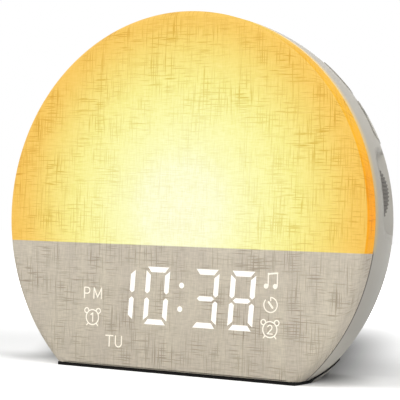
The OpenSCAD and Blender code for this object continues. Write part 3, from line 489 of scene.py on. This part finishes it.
def lightMaterial(name, colour):
    material, shader = newMaterial(name, shaded(colour, litDisplay["unlit"]),
                                   litDisplay["roughness"])
    place = objectPlace(material)
    threads = [fade(material, noise(material, place, 1.0, 1.0, litDisplay[way]),
                    *litDisplay["threadFade"]) for way in ("threadsAcross", "threadsUpright")]
    plug(material, blendColours(material, calculate(material, "MAXIMUM", *threads), colour,
                                litDisplay["threadColour"]), shader.inputs["Emission Color"])
    shader.inputs["Emission Strength"].default_value = litDisplay["strength"]
    return material


def islands(piece):
    # groups of faces that are joined, as lists of face numbers
    parent = list(range(len(piece.data.vertices)))

    def root(i):
        while parent[i] != i:
            parent[i] = parent[parent[i]]
            i = parent[i]
        return i

    for edge in piece.data.edges:
        first, second = (root(i) for i in edge.vertices)
        parent[first] = second
    groups = {}
    for face in piece.data.polygons:
        groups.setdefault(root(face.vertices[0]), []).append(face.index)
    return list(groups.values())


def spanOf(piece, faces):
    # the lowest and highest x, then z, of a group of faces
    used = {i for face in faces for i in piece.data.polygons[face].vertices}
    corners = [piece.data.vertices[i].co for i in used]
    return [(min(corner[axis] for corner in corners), max(corner[axis] for corner in corners))
            for axis in (0, 2)]


def makeFilm(piece, node):
    # keeps the front faces alone, as a thin film that lies just in front of the cloth
    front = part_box(node)[0].y
    editWhere(piece, "FACE", lambda face: face.center.y > front + litDisplay["thickness"])
    bpy.ops.mesh.delete(type="FACE")
    bpy.ops.mesh.select_all(action="SELECT")
    bpy.ops.mesh.inset(thickness=litDisplay["thinned"])
    bpy.ops.mesh.select_all(action="INVERT")
    bpy.ops.mesh.delete(type="FACE")
    bpy.ops.mesh.select_all(action="SELECT")
    bpy.ops.transform.translate(value=(0, frontY - litDisplay["standOff"] - front, 0))
    leaveEdit()
    applyModifier(piece, "SOLIDIFY", thickness=litDisplay["thickness"], offset=1)


def makeLitTime():
    piece = mergedCopy("display_segments", "litTime")
    guides = [(faces, *spanOf(piece, faces)) for faces in islands(piece)]
    heights = [z for faces, xs, zs in guides for z in zs]
    middleZ = (min(heights) + max(heights)) / 2
    barLength = litDisplay["barLength"]
    cells = sorted(sum(xs) / 2 for faces, xs, zs in guides
                   if xs[1] - xs[0] > barLength and abs(sum(zs) / 2 - middleZ) < barLength)
    lit = set()
    for faces, xs, zs in guides:
        x, z = sum(xs) / 2, sum(zs) / 2
        width, height = xs[1] - xs[0], zs[1] - zs[0]
        cell = min(range(len(cells)), key=lambda i: abs(cells[i] - x))
        level = "top" if z > middleZ else "bottom"
        if abs(z - middleZ) < barLength / 2:
            level = "middle"
        side = "left" if x < cells[cell] else "right"
        name = level if width > barLength else side + level.title()
        isDot = width < barLength and height < barLength
        if isDot or name in litDisplay["litSides"][cell]:
            lit.update(faces)
    editWhere(piece, "FACE", lambda face: face.index not in lit)
    bpy.ops.mesh.delete(type="FACE")
    leaveEdit()
    makeFilm(piece, "display_segments")
    finishPiece(piece, "clock",
                lightMaterial("timeLight", litDisplay["timeColour"]))


def makeLitSigns():
    piece = mergedCopy("display_icons", "litSigns")
    makeFilm(piece, "display_icons")
    finishPiece(piece, "clock",
                lightMaterial("signLight", litDisplay["signColour"]))


makeLitTime()
makeLitSigns()
print("display lit")


# Plastics, metals and boards

moulding = {
    "mottleScale": 90.0,
    "mottle": 0.012,                 # how much lighter and darker it gets from place to place
    "grainScale": 2600.0,
    "grainDepth": 0.00003,
    "grainStrength": 0.35,
}


def mottled(material, place, colour, scale, amount):
    return noiseColours(material, noise(material, place, scale, 3.0), [
        shaded(colour, 1 - amount), shaded(colour, 1 + amount)])


def addGrain(material, shader, place):
    addBump(material, shader, noise(material, place, moulding["grainScale"]),
            moulding["grainDepth"], moulding["grainStrength"])


def mouldedMaterial(name, colour, roughness):
    material, shader = newMaterial(name, colour, roughness)
    place = objectPlace(material)
    plug(material, mottled(material, place, colour, moulding["mottleScale"], moulding["mottle"]),
         shader.inputs["Base Color"])
    addGrain(material, shader, place)
    return material


metal = {
    "mottleScale": 400.0,
    "mottle": 0.06,
}


def metalMaterial(name, colour, roughness):
    material, shader = newMaterial(name, colour, roughness)
    plug(material, mottled(material, objectPlace(material), colour, metal["mottleScale"],
                           metal["mottle"]), shader.inputs["Base Color"])
    shader.inputs["Metallic"].default_value = 1.0
    return material


board = {
    "roughness": 0.35,
    "tracksAcross": (900, 90, 60),         # to a metre
    "tracksUpright": (60, 90, 900),
    "trackFade": (0.6, 0.66),
}


def boardMaterial(name, colour, trackColour):
    # a circuit board with faint tracks under its mask
    material, shader = newMaterial(name, colour, board["roughness"])
    place = objectPlace(material)
    tracks = [fade(material, noise(material, place, 1.0, 0.0, board[way]), *board["trackFade"])
              for way in ("tracksAcross", "tracksUpright")]
    plug(material, blendColours(material, calculate(material, "MAXIMUM", *tracks), colour,
                                trackColour), shader.inputs["Base Color"])
    return material


# The shell

shell = {
    "colour": screenColour(157, 153, 144),
    "roughness": 0.5,
    "edgeRound": 0.00015,
    "edgeSteps": 3,
    "rimReach": (0.00001, 0.0003),   # how near to the mouth, and to the outside, the rim's edge is
    "smoothUpTo": 28,                # in degrees
    "splitFade": (-0.001, 0.002),    # the spilt light starts here, from the split line
    "glowReach": 0.0060,             # how far the lamp's light spills over the rim
    "glowFall": 1.6,                 # higher keeps it nearer to the cloth
    "glowColour": screenColour(250, 190, 84),
    "glowStrength": 0.45,
    "glowFrom": -0.02,               # height from which the spilt light grows, from the split line
    "glowLow": 0.25,                 # how much of it there is up to there
    "lampLightTint": (0.98, 0.89, 0.50, 1),       # painted lamp light: tint of the rim's colour beside the lamp, where its light spills
    "seamShadowDepth": 0.00075,            # depth of the painted shadow beside the cloth, in the gap below the split
    "seamShadowColour": screenColour(72, 64, 56),
    "shade": [                       # height in metres, and painted light and shade there: the plastic is made lighter towards its top and foot and darker between, as light falls on it
        (0.003, 1.70), (0.011, 1.27), (0.018, 1.02), (0.0245, 0.88), (0.045, 0.88),
        (0.065, 0.90), (0.088, 1.00), (0.104, 1.06), (0.119, 1.11), (0.160, 1.14),
    ],
}


def shellMaterial():
    material, shader = newMaterial("shellPlastic", shell["colour"], shell["roughness"])
    place = objectPlace(material)
    at = axesOf(material, place)
    above = fade(material, at["Z"], *(splitZ + height for height in shell["splitFade"]))
    # painted shadow in the gap between the cloth and the shell, below the split
    seamShadow = fade(material, at["Y"], seamY + 2 * shell["seamShadowDepth"], seamY + shell["seamShadowDepth"])
    seamShadow = calculate(material, "MULTIPLY", seamShadow, calculate(material, "SUBTRACT", 1.0, above))
    near = calculate(material, "POWER", fade(
        material, at["Y"], seamY + shell["glowReach"], seamY), shell["glowFall"])
    spill = calculate(material, "MULTIPLY", near, above)

    plastic = mottled(material, place, shell["colour"], moulding["mottleScale"],
                      moulding["mottle"])
    # painted lamp light, tinting the rim's colour where the lamp's light spills over it
    plastic = blendColours(material, spill, plastic, tinted(material, plastic, shell["lampLightTint"]))
    # painted light and shade by height, multiplied into the plastic's colour
    top = shell["shade"][-1][0]
    shade = colourRamp(material, calculate(material, "DIVIDE", at["Z"], top), [
        (height / top, grey(light)) for height, light in shell["shade"]])
    plug(material, blendColours(material, seamShadow, tinted(material, plastic, shade),
                                shell["seamShadowColour"]), shader.inputs["Base Color"])

    upward = fade(material, at["Z"], splitZ + shell["glowFrom"], faceZ + faceRadius)
    amount = calculate(material, "MULTIPLY", spill, calculate(
        material, "MULTIPLY_ADD", upward, 1 - shell["glowLow"], shell["glowLow"]))
    plug(material, blendColours(material, amount, grey(0), shaded(
        shell["glowColour"], shell["glowStrength"])), shader.inputs["Emission Color"])
    shader.inputs["Emission Strength"].default_value = 1.0
    addGrain(material, shader, place)
    return material


def makeShell():
    piece = mergedCopy("rear_housing", "shellMain")
    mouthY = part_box("rear_housing")[0].y + shell["rimReach"][0]
    rimRadius = faceRadius - shell["rimReach"][1]
    editWhere(piece, "EDGE", lambda edge: all(
        end.y < mouthY and hypot(end.x, end.z - faceZ) > rimRadius
        for end in endsOf(piece, edge)))
    roundEdges(shell["edgeRound"], shell["edgeSteps"])
    smoothBroadly(piece, shell["smoothUpTo"])
    finishPiece(piece, "clock", shellMaterial(), ["rear_housing"])


makeShell()
print("shell made")


# Smaller outside pieces, copied from the CAD and given soft edges

softening = {
    "flatWithin": 0.4,               # faces that turn less than this, in degrees, become one
    "edgeSteps": 2,
    "smoothUpTo": 32,                # in degrees
}


def makeSoftened(node, name, body, material, edgeRound, sharpFrom=40):
    # edges that turn more than sharpFrom, in degrees, are rounded
    piece = mergedCopy(node, name)
    editAll(piece)
    bpy.ops.mesh.dissolve_limited(angle_limit=radians(softening["flatWithin"]))
    leaveEdit()
    applyModifier(piece, "BEVEL", width=edgeRound, segments=softening["edgeSteps"],
                  limit_method="ANGLE", angle_limit=radians(sharpFrom), use_clamp_overlap=True)
    smoothBroadly(piece, softening["smoothUpTo"])
    finishPiece(piece, body, material, [node])


keys = {
    # the keys' colour is made about a tenth lighter, as painted light like the shell's painted
    # lightness at their height
    "colour": screenColour(165, 161, 151),
    "inkAndGapShadow": screenColour(44, 45, 42),
    "roughness": 0.48,
    "edgeRound": 0.00045,
    "radius": 0.0905,                # of the keys' faces, round the clock
    "marks": [                       # angle round the clock, depth, and half the length and width
        (90, 0.0055, 0.0090, 0.0008),
        (46.5, 0.0055, 0.0010, 0.0010),
        (29.0, 0.0055, 0.0010, 0.0010), (32.0, 0.0055, 0.0010, 0.0010),
        # painted shadow in the gap at a key's front edge
        (32.3, -0.0021, 0.0022, 0.0010),
        (133.5, 0.0055, 0.0022, 0.0022),
        (147.5, 0.0055, 0.0006, 0.0024), (149.5, 0.0055, 0.0006, 0.0016),
        (151.5, 0.0055, 0.0006, 0.0008),
    ],
    "markCorner": 4.0,               # higher is squarer
    "markFade": (1.1, 0.9),
    "pieces": {                      # CAD node, name and body
        "snooze_button": ("snoozeKey", "snooze"),
        "alarm_one_button": ("alarmOneKey", "alarm_one"),
        "alarm_two_button": ("alarmTwoKey", "alarm_two"),
        "light_button": ("lightKey", "light"),
        "sound_button": ("soundKey", "sound"),
    },
}


def keyMaterial():
    # plain bars and dots printed on the keys, and one painted shadow in the gap at a key's front
    # edge
    material, shader = newMaterial("keyPlastic", keys["colour"], keys["roughness"])
    place = objectPlace(material)
    at = axesOf(material, place)
    turn = calculate(material, "ARCTAN2", calculate(material, "SUBTRACT", at["Z"], faceZ), at["X"])
    inkAndGapShadow = 0.0
    for angle, depth, halfLength, halfWidth in keys["marks"]:
        along = calculate(material, "MULTIPLY", calculate(
            material, "SUBTRACT", turn, radians(angle)), keys["radius"] / halfLength)
        inward = calculate(material, "DIVIDE", calculate(
            material, "SUBTRACT", at["Y"], depth), halfWidth)
        powers = [calculate(material, "POWER", calculate(material, "ABSOLUTE", way),
                            keys["markCorner"]) for way in (along, inward)]
        inkAndGapShadow = calculate(material, "MAXIMUM", fade(
            material, calculate(material, "ADD", *powers), *keys["markFade"]), inkAndGapShadow)
    plug(material, blendColours(material, inkAndGapShadow, keys["colour"], keys["inkAndGapShadow"]),
         shader.inputs["Base Color"])
    addGrain(material, shader, place)
    return material


def makeKeys():
    material = keyMaterial()
    for node, (name, body) in keys["pieces"].items():
        makeSoftened(node, name, body, material, keys["edgeRound"])


batteryDoor = {
    "colour": screenColour(150, 146, 137),
    "roughness": 0.5,
    "edgeRound": 0.0003,
}


def makeBatteryDoor():
    material = mouldedMaterial("doorPlastic", batteryDoor["colour"], batteryDoor["roughness"])
    makeSoftened("battery_door", "batteryDoor", "clock", material,
                 batteryDoor["edgeRound"])


volumeWheel = {
    "colour": screenColour(98, 94, 87),
    "roughness": 0.6,
    "edgeRound": 0.0002,
    "sharpFrom": 50,                 # in degrees, so that the grooves' floors stay as they are
}


def makeVolumeWheel():
    material = mouldedMaterial("dialGrip", volumeWheel["colour"], volumeWheel["roughness"])
    makeSoftened("volume_dial", "volumeWheel", "dial", material,
                 volumeWheel["edgeRound"], volumeWheel["sharpFrom"])


footPad = {
    "colour": screenColour(16, 16, 15),
    # painted shadow: the skirt's grey stands in for the shadowed floor under a rising underside
    "skirtShadowColour": screenColour(156, 152, 146),
    "roughness": 0.9,
    "shine": 0.2,
    "edgeRound": 0.0002,
    "climbFrom": -0.0206,            # depth where the dark edge starts to climb
    "climb": radians(22),
    "padTop": 0.0016,
    "skirtTop": 0.0095,
    "skirtFade": (0.0030, 0.0045),   # how far past the start of the climb the skirt turns grey
    "edgeWidth": (0.0011, 0.0014),   # the dark edge ends between these, from its top down
}


def footPadMaterial():
    # black, with the skirt below its upper edge painted grey as shadow, like the shadowed floor
    # beside it
    material, shader = newMaterial("padRubber", footPad["colour"], footPad["roughness"])
    shader.inputs["Specular IOR Level"].default_value = footPad["shine"]
    at = axesOf(material, objectPlace(material))
    past = calculate(material, "SUBTRACT", at["Y"], footPad["climbFrom"])
    edge = calculate(material, "MULTIPLY_ADD", past, tan(footPad["climb"]), footPad["padTop"])
    edge = calculate(material, "MINIMUM", edge, footPad["skirtTop"])
    below = calculate(material, "SUBTRACT", edge, at["Z"])
    shadowedSkirt = calculate(material, "MULTIPLY", fade(material, past, *footPad["skirtFade"]),
                      fade(material, below, *footPad["edgeWidth"]))
    plug(material, blendColours(material, shadowedSkirt, footPad["colour"], footPad["skirtShadowColour"]),
         shader.inputs["Base Color"])
    return material


makeKeys()
makeBatteryDoor()
makeVolumeWheel()
makeSoftened("base_pad", "footPad", "clock", footPadMaterial(),
             footPad["edgeRound"])
print("keys, door, dial and foot softened")


# Finishes of the CAD nodes that stay as they are

diffuser = {
    "colour": screenColour(240, 236, 224),
    "roughness": 0.4,
    "unlitColour": screenColour(120, 114, 102),
    "litColour": screenColour(110, 86, 40),
    "glow": (screenColour(250, 204, 100), screenColour(252, 216, 122)),
    "glowScale": 40.0,
    "glowStrength": 0.9,
    "splitFade": 0.0005,
}


def diffuserMaterial():
    material, shader = newMaterial("milkyDiffuser", diffuser["colour"], diffuser["roughness"])
    place = objectPlace(material)
    lit = fade(material, axesOf(material, place)["Z"], splitZ - diffuser["splitFade"],
               splitZ + diffuser["splitFade"])
    glow = noiseColours(material, noise(material, place, diffuser["glowScale"]), diffuser["glow"])
    plug(material, blendColours(material, lit, grey(0), glow), shader.inputs["Emission Color"])
    plug(material, blendColours(material, lit, diffuser["unlitColour"], diffuser["litColour"]),
         shader.inputs["Base Color"])
    shader.inputs["Emission Strength"].default_value = diffuser["glowStrength"]
    return material


finishes = {
    "diffuser": diffuserMaterial(),
    "white_plastic": mouldedMaterial("whiteMoulding", screenColour(240, 239, 234), 0.3),
    "white_board": boardMaterial("whiteBoard", screenColour(236, 236, 230),
                                 screenColour(222, 224, 216)),
    "green_board": boardMaterial("greenBoard", screenColour(38, 96, 62),
                                 screenColour(54, 124, 80)),
    "lamp_led": mouldedMaterial("ledResin", screenColour(250, 232, 160), 0.25),
    "smoke_film": mouldedMaterial("smokeFilm", screenColour(150, 146, 138), 0.25),
    "black_plastic": mouldedMaterial("blackMoulding", screenColour(38, 38, 40), 0.4),
    "lit_segment": mouldedMaterial("lightGuide", screenColour(236, 236, 228), 0.3),
    "steel": metalMaterial("platedSteel", screenColour(205, 206, 209), 0.32),
    "cone_paper": mouldedMaterial("conePaper", screenColour(48, 48, 50), 0.9),
    "foam": mouldedMaterial("softFoam", screenColour(46, 46, 46), 0.95),
    "contact_brass": metalMaterial("contactBrass", screenColour(214, 184, 118), 0.3),
    "cable": mouldedMaterial("flatCable", screenColour(232, 231, 225), 0.45),
    "wire": mouldedMaterial("wireCover", screenColour(176, 70, 44), 0.4),
}
for part in frame["record"]["subparts"]:
    node = frame["nodes"][part["node"]]
    if node.hide_render:             # a piece made above stands for it
        continue
    for slot in node.material_slots:
        slot.material = finishes[part["material_slot"]]
print("finishes laid on")


# Floor, light and camera

studio = {
    "floorSize": 12.0,
    "floorColour": (0.88, 0.88, 0.875, 1),
    "floorLift": 0.95,               # added for the camera alone, so that the open floor is white
    "whiteFrom": (0.2, 0.7),         # distances between which the floor goes over to white
    "frontLift": (0.000, -0.040),    # depths between which it gets lighter in front of the clock
    "frontLiftShare": 0.3,
    "shadowColour": (0.075, 0.0735, 0.0705, 1),
    "shadowTurn": radians(30),       # the shadow falls this way, and fades between each pair
    "shadowRight": (0.101, 0.044),
    "shadowLeft": (-0.096, -0.061),
    "shadowBack": (0.46, 0.12),
    "shadowFront": (-0.028, 0.020),
    "spreadBehind": 0.16,            # how fast its right side widens on its way back
    "spreadBefore": 0.28,            # and how much faster before the clock's middle
    "surround": 0.15,                # light from all around
    "target": (0, 0, 0.07),
    "lamps": {                       # place, size and power of each softbox
        "keyLight": ((-0.75, -1.15, 1.45), 1.5, 29.0),
        "fillLight": ((1.3, -0.7, 1.1), 0.8, 14.5),
        "topLight": ((0.35, 0.35, 1.5), 0.7, 12.5),
    },
}


def seenDirectly(material):
    # 1 for rays from the camera, and for those that glass and gloss send on
    rays = addNode(material, "ShaderNodeLightPath")
    seen = calculate(material, "MAXIMUM", rays.outputs["Is Camera Ray"],
                     rays.outputs["Is Glossy Ray"])
    return calculate(material, "MAXIMUM", seen, rays.outputs["Is Transmission Ray"])


def floorShadow(material, place, seen):
    # how deep the shadow is that gathers under and behind the clock
    turned = addNode(material, "ShaderNodeVectorRotate", rotation_type="Z_AXIS")
    turned.inputs["Angle"].default_value = -studio["shadowTurn"]
    plug(material, place, turned.inputs["Vector"])
    along = axesOf(material, turned.outputs["Vector"])
    side, away = along["X"], along["Y"]
    rightSide = calculate(material, "SUBTRACT", side, calculate(
        material, "MULTIPLY", away, studio["spreadBehind"]))
    rightSide = calculate(material, "SUBTRACT", rightSide, calculate(
        material, "MULTIPLY", calculate(material, "MINIMUM", away, 0.0), studio["spreadBefore"]))
    depth = seen
    for value, ends in ((rightSide, "shadowRight"), (side, "shadowLeft"), (away, "shadowBack"),
                        (axesOf(material, place)["Y"], "shadowFront")):
        depth = calculate(material, "MULTIPLY", depth, fade(material, value, *studio[ends]))
    return depth


def floorMaterial():
    material, shader = newMaterial("paleFloor", studio["floorColour"], 1.0)
    shader.inputs["Specular IOR Level"].default_value = 0.0
    place = objectPlace(material)
    seen = seenDirectly(material)
    plug(material, blendColours(material, floorShadow(material, place, seen),
                                studio["floorColour"], studio["shadowColour"]),
         shader.inputs["Base Color"])
    inFront = calculate(material, "MULTIPLY", fade(
        material, axesOf(material, place)["Y"], *studio["frontLift"]), studio["frontLiftShare"])
    clear = calculate(material, "MAXIMUM", fade(
        material, lengthOf(material, place), *studio["whiteFrom"]), inFront)
    lift = calculate(material, "MULTIPLY", calculate(material, "MULTIPLY", clear, seen),
                     studio["floorLift"])
    plug(material, grey(1), shader.inputs["Emission Color"])
    plug(material, lift, shader.inputs["Emission Strength"])
    return material


def makeFloor():
    bpy.ops.object.select_all(action="DESELECT")
    bpy.ops.mesh.primitive_plane_add(size=studio["floorSize"], location=(0, 0, 0))
    floor = settle(bpy.context.object, "studioFloor")
    floor.data.materials.append(floorMaterial())


def makeSurround():
    world = bpy.data.worlds.new("studioSurround")
    scene.world = world
    world.use_nodes = True
    backdrop = world.node_tree.nodes["Background"]
    backdrop.inputs["Color"].default_value = grey(1)
    plug(world, calculate(world, "MULTIPLY_ADD", seenDirectly(world), 1 - studio["surround"],
                          studio["surround"]), backdrop.inputs["Strength"])


def makeLamps():
    for name, (place, size, power) in studio["lamps"].items():
        bpy.ops.object.light_add(type="AREA", location=place)
        lamp = bpy.context.object
        lamp.name = name
        lamp.data.energy = power
        lamp.data.size = size
        aim = Vector(studio["target"]) - lamp.location
        lamp.rotation_euler = aim.to_track_quat("-Z", "Y").to_euler()


view = {
    "place": (0.34354, -0.60601, 0.06887),
    "turn": radians(30.02),          # round from the clock's front
    "rise": radians(-0.972),
    "roll": radians(1.790),
    "lens": 131.35,
    "sensorWidth": 36,
    "clipStart": 0.01,
}


def makeCamera():
    turn, rise, roll = view["turn"], view["rise"], view["roll"]
    back = Vector((sin(turn) * cos(rise), -cos(turn) * cos(rise), sin(rise)))
    right = Vector((cos(turn), sin(turn), 0))
    up = right.cross(-back)
    across = cos(roll) * right + sin(roll) * up
    above = -sin(roll) * right + cos(roll) * up
    bpy.ops.object.camera_add()
    camera = bpy.context.object
    camera.name = "studioCamera"
    camera.matrix_world = Matrix.Translation(view["place"]) @ Matrix(
        (across, above, back)).transposed().to_4x4()
    camera.data.lens = view["lens"]
    camera.data.sensor_width = view["sensorWidth"]
    camera.data.clip_start = view["clipStart"]
    scene.camera = camera


makeFloor()
makeSurround()
makeLamps()
makeCamera()
scene.view_settings.view_transform = "Standard"
print("studio set")
